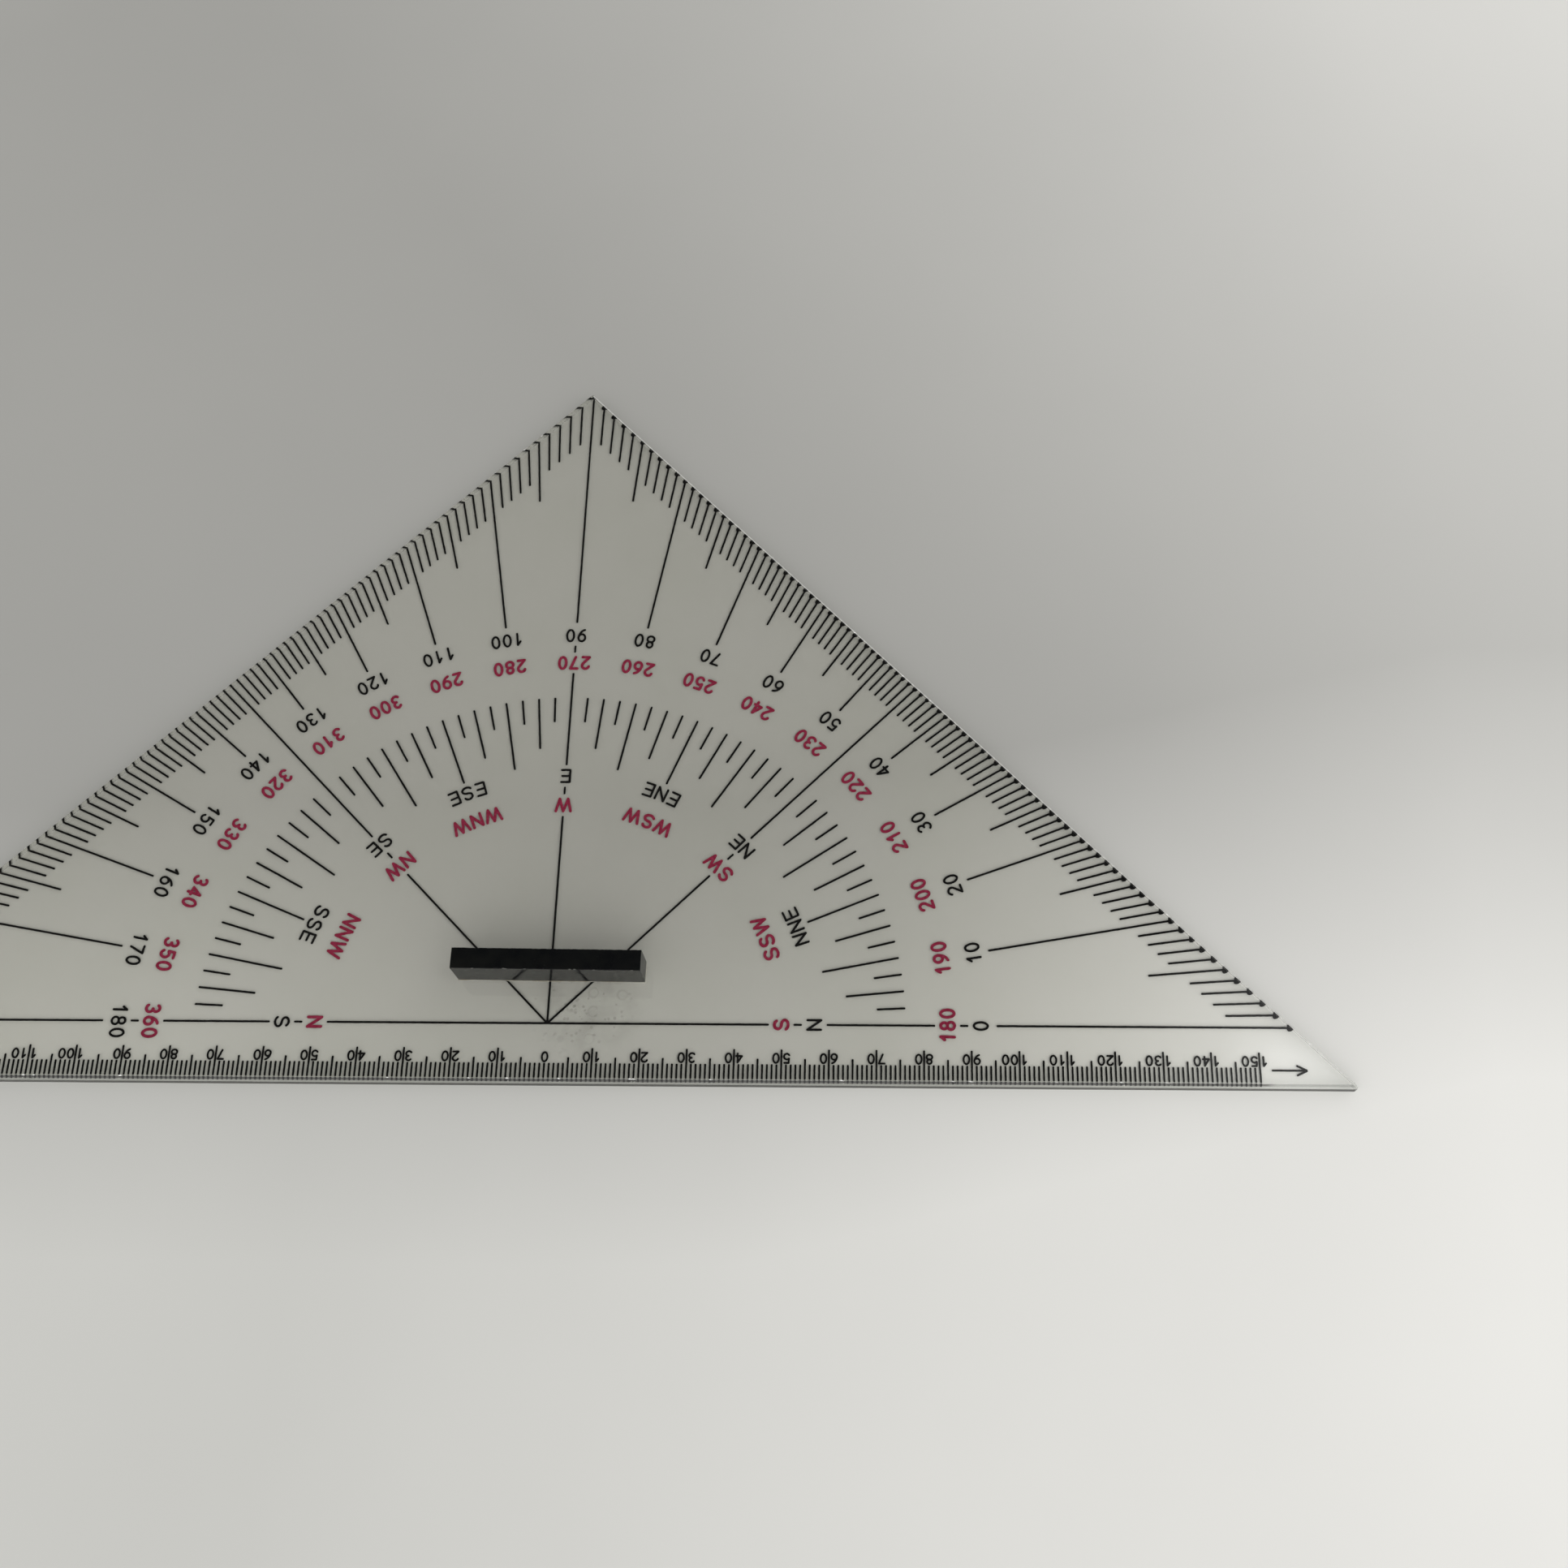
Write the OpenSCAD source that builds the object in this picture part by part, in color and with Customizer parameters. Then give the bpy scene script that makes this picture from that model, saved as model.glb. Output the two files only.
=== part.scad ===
// Navigation triangle: a clear right-angled isosceles plate with a millimetre
// ruler on its long edge, degree scales on both legs, a ring of compass points
// and a grip bar cemented on top.
// Origin: the degree centre, on the underside. +X runs along the ruling edge,
// +Y points to the right-angled corner, +Z is up. All sizes are in millimetres.

/* [Plate] */
// Length of the ruling edge, from corner to corner
ruling_edge = 340.4; // [328:0.2:420]
// Thickness of the acrylic sheet
plate_thickness = 3; // [1.5:0.5:6]
// Width of the flat that breaks the upper edge of each leg
plate_arris = 0.2; // [0.05:0.05:0.5]
// Height of the degree centre above the ruling edge
centre_height = 13.2; // [11:0.2:17]
// Width of the bevel on the upper side of the ruling edge
ruling_bevel = 0.85; // [0.2:0.05:1.2]

/* [Grip bar] */
// Length of the bar
bar_length = 40; // [20:1:80]
// Width of the bar
bar_width = 4.5; // [3:0.5:10]
// Height of the bar
bar_height = 8.8; // [5:0.2:15]
// Width of the flat that breaks the bar's upper long edges
bar_arris = 0.3; // [0.1:0.05:1]
// Distance from the base line to the middle of the bar
bar_setback = 11; // [6:0.5:40]
// Distance that the bar's middle lies to the right of the degree centre
bar_offset = 0.7; // [-3:0.1:3]
// Angle by which the bar lies off parallel to the base line
bar_skew = -0.5; // [-2:0.1:2]

/* [Cement] */
// Thickness of the cement film under the bar
cement_film = 0.1; // [0.05:0.05:0.3]
// Width of the cement squeezed out all round the bar
cement_squeeze = 0.4; // [0.1:0.1:1]

/* [Print] */
// Depth of the print, which lies flush in the underside
print_depth = 0.1; // [0.05:0.05:0.3]
// Width of the lines of the bearing scales
bearing_line_width = 0.45; // [0.3:0.05:0.6]

/* [Ruler] */
// Distance between neighbouring ticks of the ruler
ruler_unit = 1; // [0.8:0.05:1.3]
// Width of the ruler's ticks
ruler_line_width = 0.42; // [0.3:0.02:0.5]
// Distance from the ruling edge in to the outer ends of the ticks
ruler_inset = 1.45; // [0.2:0.05:2]
// Length of a tick at each millimetre
millimetre_tick = 3.25; // [1.5:0.25:4]
// Length of a tick at each fifth millimetre
five_millimetre_tick = 4.45; // [4:0.05:5.5]
// Length of a tick at each tenth millimetre
ten_millimetre_tick = 6.45; // [5.5:0.05:7.5]
// Room left between the ruler's last tick and each corner, at least
ruler_corner_room = 16; // [14:1:30]

/* [Ruler arrows] */
// Distance from the last tick to the tail of the arrow
arrow_gap = 2.4; // [1:0.2:4]
// Length of the arrow
arrow_length = 7.4; // [4:0.2:8]
// Length of each stroke of the arrow's head
arrow_barb = 2.5; // [1:0.1:3]
// Angle between the arrow's shaft and each stroke of its head
arrow_barb_angle = 25; // [20:1:45]
// Height of the arrow above the ruling edge
arrow_height = 4.1; // [3.2:0.1:4.8]

/* [Degree scale] */
// Depth of the band of one degree ticks, square to the leg
degree_tick_depth = 7.75; // [4:0.25:10]
// Depth of the band of five degree ticks, square to the leg
five_degree_tick_depth = 12.75; // [10:0.25:16]
// Radius of the ring of black degree numbers
degree_label_radius = 92; // [88:0.5:96]
// Distance from that ring out to the inner ends of the ten degree lines
ten_degree_gap = 3.3; // [2:0.1:5]

/* [Compass ring] */
// Radius of the ring that the compass ticks hang from
compass_radius = 76.2; // [74:0.1:80]
// Length of a short compass tick
compass_short_tick = 6.1; // [3:0.1:8]
// Length of a medium compass tick
compass_medium_tick = 12.5; // [9:0.1:14]
// Length of a long compass tick
compass_long_tick = 16.8; // [14:0.1:17]

/* [Label rings] */
// Distance from a ring of black labels in to its ring of red labels
label_ring_spacing = 7; // [6:0.1:8]
// Half of the gap that a label leaves in a bearing line
label_clearance = 2.6; // [2:0.1:2.9]

/* [Hidden] */

half_edge = ruling_edge / 2;
// The legs are the lines where |x| + y equals this reach
leg_reach = half_edge - centre_height;
leg_angle = 45;
// Number of ruler ticks from zero to the last one, in whole tens
ruler_reach = 10 * floor((half_edge - ruler_corner_room) / (10 * ruler_unit));
degree_reach = leg_reach - degree_tick_depth * sqrt(2);
five_degree_reach = leg_reach - five_degree_tick_depth * sqrt(2);
ten_degree_radius = degree_label_radius + ten_degree_gap;
reciprocal_label_radius = degree_label_radius - label_ring_spacing;
compass_label_radius = compass_radius - compass_long_tick - label_clearance;
opposite_label_radius = compass_label_radius - label_ring_spacing;
compass_divisions = 64;
compass_step = 180 / compass_divisions;
bar_base = plate_thickness + cement_film;
// Extra depth by which a cutter runs past the face that it starts from
overrun = 1;

clear_acrylic = [0.88, 0.93, 0.92, 0.35];
black_acrylic = [0.06, 0.06, 0.07];
clear_cement = [0.8, 0.82, 0.8, 0.6];
black_print = [0.05, 0.05, 0.05];

// Distance along the ray at angle a, shifted sideways by s, to the line
// where |x| + y equals limit
function ray_length(a, limit, s = 0) =
    let (side = limit * cos(a) - s * sin(a) < 0 ? -1 : 1)
    (limit - s * (cos(a) - side * sin(a))) / (side * cos(a) + sin(a));

// A line along the ray at angle a, from radius r0 to radius r1
module ray_line(a, r0, r1, w = bearing_line_width)
    rotate(a) translate([r0, -w / 2]) square([r1 - r0, w]);

// A line along the ray at angle a, from radius r0 out to the leg, where its
// end is cut flush with the leg
module ray_to_leg(a, r0, w = bearing_line_width)
    rotate(a) polygon([
        [r0, -w / 2],
        [ray_length(a, leg_reach, -w / 2), -w / 2],
        [ray_length(a, leg_reach, w / 2), w / 2],
        [r0, w / 2]
    ]);

module plate_outline()
    polygon([[-half_edge, -centre_height], [half_edge, -centre_height], [0, leg_reach]]);

// Ruler ticks of one length, at the counts in the list
module ruler_ticks(counts, length)
    for (count = counts)
        translate([count * ruler_unit - ruler_line_width / 2, ruler_inset - centre_height])
            square([ruler_line_width, length]);

module millimetre_outline()
    ruler_ticks([for (i = [-ruler_reach:ruler_reach]) if (i % 5 != 0 || i == 0) i], millimetre_tick);

module five_millimetre_outline()
    ruler_ticks([for (i = [-ruler_reach:ruler_reach]) if (abs(i % 10) == 5) i], five_millimetre_tick);

module ten_millimetre_outline()
    ruler_ticks([for (i = [-ruler_reach:ruler_reach]) if (i % 10 == 0 && i != 0) i], ten_millimetre_tick);

// One arrow, pointing to the right of the ruler's last tick
module arrow_outline() {
    tail = ruler_reach * ruler_unit + arrow_gap;
    tip = tail + arrow_length;
    translate([0, arrow_height - centre_height]) {
        translate([tail, -ruler_line_width / 2]) square([arrow_length, ruler_line_width]);
        for (turn = [-1, 1])
            translate([tip, 0]) rotate(180 + turn * arrow_barb_angle)
                translate([0, -ruler_line_width / 2]) square([arrow_barb, ruler_line_width]);
    }
}

module arrows_outline()
    for (side = [0, 1]) mirror([side, 0]) arrow_outline();

module degree_outline()
    for (a = [1:179])
        if (a % 5 != 0) ray_to_leg(a, ray_length(a, degree_reach));

module five_degree_outline()
    for (a = [5:10:175])
        if (a % 45 != 0) ray_to_leg(a, ray_length(a, five_degree_reach));

module ten_degree_outline()
    for (a = [0:10:180]) ray_to_leg(a, ten_degree_radius);

// Compass ticks of one length, at every n-th division counted from the first
module compass_ticks(first, n, length)
    for (i = [first:n:compass_divisions - 1])
        if (i % 16 != 0) ray_line(i * compass_step, compass_radius - length, compass_radius);

module compass_short_outline() compass_ticks(1, 2, compass_short_tick);
module compass_medium_outline() compass_ticks(2, 4, compass_medium_tick);
module compass_long_outline() compass_ticks(4, 4, compass_long_tick);

// Bearing lines: each stops short of the labels that stand on it and goes on
// between them as a dash
module bearing_outline() {
    for (a = [0:45:180]) {
        ray_line(a, 0, opposite_label_radius - label_clearance);
        ray_line(a, opposite_label_radius + label_clearance, compass_label_radius - label_clearance);
    }
    for (a = [0:90:180]) {
        ray_line(a, compass_label_radius + label_clearance, reciprocal_label_radius - label_clearance);
        ray_line(a, reciprocal_label_radius + label_clearance, degree_label_radius - label_clearance);
    }
    for (a = [45, 135]) ray_to_leg(a, compass_label_radius + label_clearance);
}

module print_layer()
    color(black_print) linear_extrude(print_depth) children();

module print_recess()
    translate([0, 0, -overrun]) linear_extrude(print_depth + overrun) children();

// A wedge that takes the sharp corner off an upper edge running along +X
module bevel_cutter(length, width)
    rotate([90, 0, 90]) linear_extrude(length)
        polygon([[-overrun, -width - overrun], [-overrun, overrun], [width + overrun, overrun]]);

module plate() {
    leg_length = half_edge * sqrt(2);
    // Corner that each upper edge starts from, its direction, its length and
    // the width that is taken off it
    upper_edges = [
        [[-half_edge, -centre_height], 0, ruling_edge, ruling_bevel],
        [[half_edge, -centre_height], 180 - leg_angle, leg_length, plate_arris],
        [[0, leg_reach], 180 + leg_angle, leg_length, plate_arris]
    ];
    color(clear_acrylic) difference() {
        linear_extrude(plate_thickness) plate_outline();
        for (edge = upper_edges)
            translate([edge[0][0], edge[0][1], plate_thickness]) rotate(edge[1])
                translate([-overrun, 0, 0]) bevel_cutter(edge[2] + 2 * overrun, edge[3]);
        print_recess() {
            millimetre_outline();
            five_millimetre_outline();
            ten_millimetre_outline();
            arrows_outline();
            degree_outline();
            five_degree_outline();
            ten_degree_outline();
            compass_short_outline();
            compass_medium_outline();
            compass_long_outline();
            bearing_outline();
        }
    }
}

// Places a child on the plate where the bar stands
module at_bar()
    translate([bar_offset, bar_setback]) rotate(bar_skew) children();

module grip_bar() {
    half_width = bar_width / 2;
    color(black_acrylic) translate([0, 0, bar_base]) at_bar()
        translate([-bar_length / 2, 0, 0]) rotate([90, 0, 90]) linear_extrude(bar_length)
            polygon([
                [-half_width, 0],
                [half_width, 0],
                [half_width, bar_height - bar_arris],
                [half_width - bar_arris, bar_height],
                [-half_width + bar_arris, bar_height],
                [-half_width, bar_height - bar_arris]
            ]);
}

module bar_cement()
    color(clear_cement) translate([0, 0, plate_thickness]) linear_extrude(cement_film) at_bar()
        square([bar_length + 2 * cement_squeeze, bar_width + 2 * cement_squeeze], center = true);

module ruler_millimetre_ticks() print_layer() millimetre_outline();
module ruler_five_millimetre_ticks() print_layer() five_millimetre_outline();
module ruler_ten_millimetre_ticks() print_layer() ten_millimetre_outline();
module ruler_arrows() print_layer() arrows_outline();
module degree_ticks() print_layer() degree_outline();
module five_degree_ticks() print_layer() five_degree_outline();
module ten_degree_lines() print_layer() ten_degree_outline();
module compass_short_ticks() print_layer() compass_short_outline();
module compass_medium_ticks() print_layer() compass_medium_outline();
module compass_long_ticks() print_layer() compass_long_outline();
module bearing_lines() print_layer() bearing_outline();

plate();
grip_bar();
bar_cement();
ruler_millimetre_ticks();
ruler_five_millimetre_ticks();
ruler_ten_millimetre_ticks();
ruler_arrows();
degree_ticks();
five_degree_ticks();
ten_degree_lines();
compass_short_ticks();
compass_medium_ticks();
compass_long_ticks();
bearing_lines();
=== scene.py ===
"""Looks of the navigation triangle: a clear plate with printed scales and a black grip bar.

Every piece is built in metres, in the frame's own axes: +X along the ruling edge, +Y to the
right-angled corner, +Z up, with the degree centre on the underside at the origin.
"""
import random
from math import ceil, cos, hypot, pi, radians, sin, sqrt, tan

import bmesh
import bpy
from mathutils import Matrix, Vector, noise
from mathutils.geometry import delaunay_2d_cdt


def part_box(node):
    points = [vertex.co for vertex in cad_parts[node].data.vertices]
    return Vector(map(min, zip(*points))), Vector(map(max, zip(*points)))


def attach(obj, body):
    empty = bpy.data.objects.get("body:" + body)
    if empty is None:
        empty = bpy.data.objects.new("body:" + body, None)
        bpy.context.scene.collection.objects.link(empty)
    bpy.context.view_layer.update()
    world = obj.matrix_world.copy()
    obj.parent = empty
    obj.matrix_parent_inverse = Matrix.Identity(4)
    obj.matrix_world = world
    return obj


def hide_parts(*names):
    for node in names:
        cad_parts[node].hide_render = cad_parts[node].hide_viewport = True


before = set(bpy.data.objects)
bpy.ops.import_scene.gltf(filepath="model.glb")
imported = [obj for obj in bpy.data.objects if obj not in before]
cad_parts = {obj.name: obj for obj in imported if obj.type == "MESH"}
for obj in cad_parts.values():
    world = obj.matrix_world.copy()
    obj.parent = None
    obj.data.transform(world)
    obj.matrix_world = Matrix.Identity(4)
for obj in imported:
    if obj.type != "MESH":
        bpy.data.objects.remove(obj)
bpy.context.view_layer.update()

MM = 0.001

# Camera
PHOTO_PIXELS = 1932
CAMERA_PLACE = (71.27 * MM, -95.65 * MM, 371.75 * MM)
CAMERA_TURN_DEGREES = (22.2242, 1.2431, 0.6964)
CAMERA_FOCAL_LENGTH = 41.16
CAMERA_CLIP_START = 10 * MM
# Where the lens's axis meets the photograph: pixels to the right of and above its middle
CAMERA_AXIS_OFFSET = (67.95, 3.24)

# Sky, which gives all the light: brighter on the right, and darker overhead at the back
SKY_COLOUR = (0.86, 0.86, 0.86, 1)
SKY_BRIGHT_COLOUR = (1.75, 1.74, 1.7, 1)
SKY_BRIGHT_WAY = Vector((0.8, -0.6, 0.45)).normalized()
# Cosines of the angles from the bright way where the brightness begins and where it is full
SKY_BRIGHT_COSINES = (0, 0.95)
SKY_DARK_COLOUR = (0.03, 0.03, 0.03, 1)
SKY_DARK_WAY = Vector((-0.22, 0.45, 1)).normalized()
# Angles from the dark way where the dark begins and where it is full
SKY_DARK_DEGREES = (48, 24)
# A soft window that only shows in gloss, with the angles where it begins and where it is full
WINDOW_COLOUR = (1.3, 1.3, 1.28, 1)
WINDOW_WAY = Vector((0.34, 0.17, 0.925)).normalized()
WINDOW_DEGREES = (13, 5)
# What shows beyond the floor
BACKDROP_COLOUR = (0.82, 0.82, 0.8, 1)

# Floor
FLOOR_HALF_SIZE = 4
FLOOR_SEGMENTS = 8
FLOOR_GAP = 0.2 * MM
FLOOR_PLAIN = (0.68, 0.68, 0.655, 1)
# Painted light that brightens the floor on the right
FLOOR_PAINTED_LIGHT = (0.96, 0.955, 0.93, 1)
FLOOR_SHADED = (0.415, 0.412, 0.395, 1)
# Distances from the origin between which the floor's painted light and shade fade into its plain colour
FLOOR_FADE = (0.32, 0.75)
# Places along X between which painted light makes the floor bright
FLOOR_PAINTED_LIGHT_X = (-0.05, 0.2)
# Places along Y between which the floor turns dark, and how much later that is on the right
FLOOR_SHADED_Y = (-0.05, 0.05)
FLOOR_SHADED_LATER = 0.04
FLOOR_SHADED_LATER_X = (0.04, 0.2)
# Places along X between which the dark fades to this share, further left the further back
FLOOR_SHADED_X = (0.13, 0.55)
FLOOR_SHADED_SHARE = 0.1
FLOOR_SHADED_SLANT = 0.8
FLOOR_MOTTLE = 0.04
FLOOR_MOTTLE_GRAIN = 9
# Shade under the plate's front middle, with the places where it grows and ends
PLATE_SHADE = 0.17
PLATE_SHADE_GROWS_X = (-0.08, 0.01)
PLATE_SHADE_ENDS_X = (0.07, 0.14)
PLATE_SHADE_ENDS_Y = (0.02, 0.07)
# Painted light on the paper under the plate's right tip
TIP_PAINTED_LIGHT = (1, 1, 0.985, 1)
TIP_GROWS_X = (0.142, 0.155)
TIP_ENDS_Y = (-0.006, 0.003)

# Print
INK_BOTTOM = 0.01 * MM
INK_TOP = 0.1 * MM
INK_RIM_STEP = 0.6 * MM
INK_RIM_WAVE = 0.035 * MM
INK_RIM_GRAIN = 1500
INK_EDGE_MARGIN = 0.045 * MM
# A printed corner is cut by this much, or by this share of a short side
INK_CORNER = 0.19 * MM
INK_CORNER_SHARE = 0.45
CAP_STEPS = 4
ARC_STEP_DEGREES = 15
BEND_STEPS = 8

# Ruler numbers
RULER_TENS = 15
RULER_DIGIT_HEIGHT = 1.95 * MM
RULER_DIGIT_WIDTH = 1.18 * MM
RULER_DIGIT_STROKE = 0.41 * MM
RULER_DIGIT_MIDDLE = 5.98 * MM
RULER_ZERO_MIDDLE = 5.95 * MM
# Places of the digits of a number, counted from its tick, by how many digits it has
RULER_DIGIT_PLACES = {1: (0,), 2: (1.1 * MM, -1.14 * MM), 3: (1.02 * MM, -1.09 * MM, -2.94 * MM)}

# Numbers and letters on rings round the degree centre
DEGREE_STEP = 10
DEGREE_RADIUS = 92 * MM
RECIPROCAL_RADIUS = 85 * MM
RECIPROCAL_FIRST = 180
DIGIT_HEIGHT = 2.92 * MM
DIGIT_WIDTH = 1.6 * MM
DIGIT_PITCH = 2.65 * MM
BLACK_STROKE = 0.5 * MM
RED_STROKE = 0.64 * MM
COMPASS_RADIUS = 56.8 * MM
OPPOSITE_RADIUS = 49.8 * MM
LETTER_HEIGHT = 2.92 * MM
LETTER_WIDTHS = {"N": 2.05 * MM, "E": 1.9 * MM, "S": 2.05 * MM, "W": 3.3 * MM}
LETTER_GAP = 1.08 * MM
COMPASS_POINTS = "N NNE NE ENE E ESE SE SSE S SSW SW WSW W WNW NW NNW".split()
COMPASS_POINT_ANGLE = 22.5

# Ink that gathered in small pools on the right leg's lower edge, at the ends of the ticks
POOLS = 90
POOL_TOP = 0.12 * MM
POOL_HALF_WIDTH = (0.5 * MM, 0.62 * MM)
POOL_DEPTH = (0.72 * MM, 0.92 * MM)
# A pool's rim, as shares of its half width along the edge and of its depth
POOL_RIM = ((-1, 0), (-0.88, 0.45), (-0.5, 0.86), (0, 1), (0.5, 0.86), (0.88, 0.45), (1, 0))
POOL_LEAN = 0.12
# How much longer one end is drawn out, and how much larger the pools grow towards the right tip
POOL_TAIL = 0.5
POOL_GROWTH = 0.22

# Print colours, where the ink is full and where it is thin, and grain of its cover and gloss
BLACK_FULL = (0.001, 0.001, 0.001, 1)
BLACK_THIN = (0.004, 0.004, 0.0037, 1)
RED_FULL = (0.205, 0.012, 0.038, 1)
RED_THIN = (0.265, 0.029, 0.066, 1)
INK_COVER_GRAIN = 1400
INK_GLOSS_GRAIN = 4000

# Plate
CORNER_ROUND = 0.35 * MM
CORNER_SHARES = (0, 0.33, 0.67, 1)
# Widths of the broken lower and upper corners along the ruling edge, the right leg and the left leg
LOWER_ARRISES = (0.08 * MM, 0.03 * MM, 0.03 * MM)
UPPER_ARRISES = (0.09 * MM, 0.42 * MM, 0.09 * MM)
EDGE_STEP = 3.4 * MM
EDGE_WAVE = 0.012 * MM
EDGE_WAVE_GRAIN = 90
# Numbers of chips along the ruling edge, the right leg and the left leg, and their size
CHIPS_PER_EDGE = (22, 6, 6)
CHIP_RANGE = (0.03, 0.97)
CHIP_SIZE = (0.12 * MM, 0.5 * MM)
CHIP_DEPTH_SHARE = 0.4
CHIP_FAR_SIDE = 0.7
# Of the plate's levels from its foot up, the one that a chip lowers and the one that it moves in
LOWERED_LEVEL = 3
MOVED_IN_LEVEL = 4
# Numbers of the plate's materials that come after its polished faces
PLATE_CUT, PLATE_CHIPPED, PLATE_BEVEL, PLATE_LAND, PLATE_SCRAPED = range(1, 6)

# Acrylic sheet: its cloudy and clear colours, its colour at the right end, made clearer there as
# painted light, its light's tint
ACRYLIC_IOR = 1.49
SHEET_CLOUDY = (0.885, 0.885, 0.83, 1)
SHEET_CLEAR = (0.915, 0.91, 0.865, 1)
SHEET_CLOUD_GRAIN = 35
SHEET_RIGHT_PAINTED_LIGHT = (1, 1, 0.985, 1)
SHEET_PAINTED_LIGHT_X = (0.09, 0.16)
SHEET_WEAR_GRAIN = 60
SHEET_LIGHT = (0.985, 0.985, 0.98, 1)
# Dried marks beside the bar: their middle and reach, and the grains of smears, spots and rings
DRIED_COLOUR = (0.56, 0.56, 0.51, 1)
DRIED_MIDDLE = (8 * MM, 4.5 * MM, 3 * MM)
DRIED_REACH = 14 * MM
DRIED_FULL_SHARE = 0.55
SMEAR_GRAIN = 180
SPOT_GRAIN = 800
RING_GRAIN = 300
# Strengths of the smears, spots and rings, and width of the border between chosen and empty cells
SMEAR_STRENGTH = 0.45
SPOT_STRENGTH = 0.75
RING_STRENGTH = 0.5
DROP_CHOICE_BLUR = 0.03
# How rough the sheet is in a dried mark, and at most where it is worn
DRIED_ROUGHNESS = 0.12
WORN_ROUGHNESS = 0.04

# Acrylic's cut faces and the light that they let through
CUT_COLOUR = (0.93, 0.945, 0.93, 1)
CUT_GRAIN = 2600
CUT_LIGHT = (0.6, 0.61, 0.59, 1)
# Painted shade on the face under the bevel, standing in for the contact shadow along the ruling edge's
# foot
LAND_PAINTED_SHADE = (0.06, 0.06, 0.057, 1)
LAND_GRAIN = 3000
BEVEL_DULL = (0.66, 0.67, 0.65, 1)
BEVEL_CLEAR = (0.86, 0.87, 0.85, 1)
BEVEL_GRAIN = 3500
BEVEL_LIGHT = (0.7, 0.71, 0.69, 1)
# The bevel's upper side is darker with painted shade, and beside the ticks also with a painted
# reflection of them: its colour, its share of the bevel's height and its soft border
BEVEL_PAINTED_SHADE = (0.085, 0.085, 0.08, 1)
BEVEL_PAINTED_SHADE_SHARE = 0.55
BEVEL_PAINTED_SHADE_BLUR = 0.06 * MM
# Past the last tick, with no ticks to reflect, it keeps only this share of the dark
BEVEL_TICKS_END = (151 * MM, 153 * MM)
BEVEL_PAST_TICKS = 0.55
SCRAPED_DULL = (0.62, 0.62, 0.6, 1)
SCRAPED_CLEAR = (0.86, 0.86, 0.84, 1)
SCRAPED_GRAIN = 2200
SCRAPED_LIGHT = (0.8, 0.8, 0.78, 1)
CHIPPED_COLOUR = (0.95, 0.95, 0.94, 1)
CHIPPED_GRAIN = 5000

# Bar
BAR_STEP = 0.5 * MM
BAR_ARRIS = 0.1 * MM
BAR_ARRIS_ROUND = 0.3
BAR_ARRIS_WAVE = 0.07 * MM
BAR_ARRIS_GRAIN = 900
BAR_ARRIS_LAYER = 3
# Share of chipped faces along the upper edges, by their place in the bar's section
BAR_CHIP_SHARES = {2: 0.16, 3: 0.3, 5: 0.03, 6: 0.05}
# Numbers of the bar's materials that come after its polished faces
BAR_CUT, BAR_CHIPPED = 1, 2
BAR_FACE_COLOURS = ((0.004, 0.0045, 0.005, 1), (0.007, 0.0075, 0.007, 1))
BAR_FACE_GRAIN = 300
BAR_RUBBED_GRAIN = 3000
BAR_RIPPLE_GRAIN = 4500
BAR_CUT_COLOURS = ((0.01, 0.01, 0.009, 1), (0.035, 0.035, 0.032, 1))
BAR_CHIP_COLOURS = ((0.03, 0.03, 0.028, 1), (0.2, 0.2, 0.18, 1))
BAR_CUT_GRAIN = 3000

# Cement
CEMENT_STEP = 0.5 * MM
CEMENT_WIDTH = 0.24 * MM
CEMENT_HEIGHT = 0.18 * MM
# The bead's section, as shares of its height and width, from its foot up
CEMENT_SECTION = ((0, 1), (0.35, 0.8), (0.75, 0.4))
# Its mean swelling and how much that varies, its reach at a corner, and its gaps and overlap
CEMENT_SWELL = 0.55
CEMENT_SWELL_WAVE = 0.45
CEMENT_SWELL_GRAIN = 600
CEMENT_SWELL_LAYER = 5 * MM
CEMENT_CORNER_REACH = 0.8
CEMENT_GAP = 0.004 * MM
CEMENT_OVERLAP = 0.01 * MM
CEMENT_CLEAR = (0.88, 0.86, 0.8, 1)
CEMENT_AGED = (0.74, 0.68, 0.56, 1)
CEMENT_AGE_GRAIN = 150
CEMENT_LUMP_GRAIN = 1800
CEMENT_LIGHT = (0.8, 0.78, 0.7, 1)

# Points of the frame's meshes this close to each other are one point, or are at one height
SAME_POINT = 0.001 * MM
SAME_HEIGHT = 0.01 * MM

# Most of a grain's values lie between these
GRAIN_SPAN = (0.3, 0.7)

# A fixed start of all chance, so that every run builds the same shapes
SEED = 7
chance = random.Random(SEED)
noise.seed_set(SEED)


def arc(x, y, rx, ry, start, end):
    """Points on an ellipse's arc, from one angle to another in degrees."""
    steps = max(4, ceil(abs(end - start) / ARC_STEP_DEGREES))
    angles = [radians(start + (end - start) * i / steps) for i in range(steps + 1)]
    return [(x + rx * cos(a), y + ry * sin(a)) for a in angles]


def bend(first, middle, last):
    """Points on a smooth curve from first to last, drawn towards middle."""
    def between(t, a, b, c):
        return (1 - t) ** 2 * a + 2 * t * (1 - t) * b + t * t * c
    shares = [i / BEND_STEPS for i in range(BEND_STEPS + 1)]
    return [tuple(between(t, *places) for places in zip(first, middle, last)) for t in shares]


def half_turned(strokes):
    return [[(1 - x, 1 - y) for x, y in stroke] for stroke in strokes]


def ring(x, y, rx, ry):
    return [arc(x, y, rx, ry, 90, 270), arc(x, y, rx, ry, -90, 90)]


SIX = ring(0.5, 0.31, 0.49, 0.31) + [bend((0.86, 1), (0.16, 0.86), (0.02, 0.36))]

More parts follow.
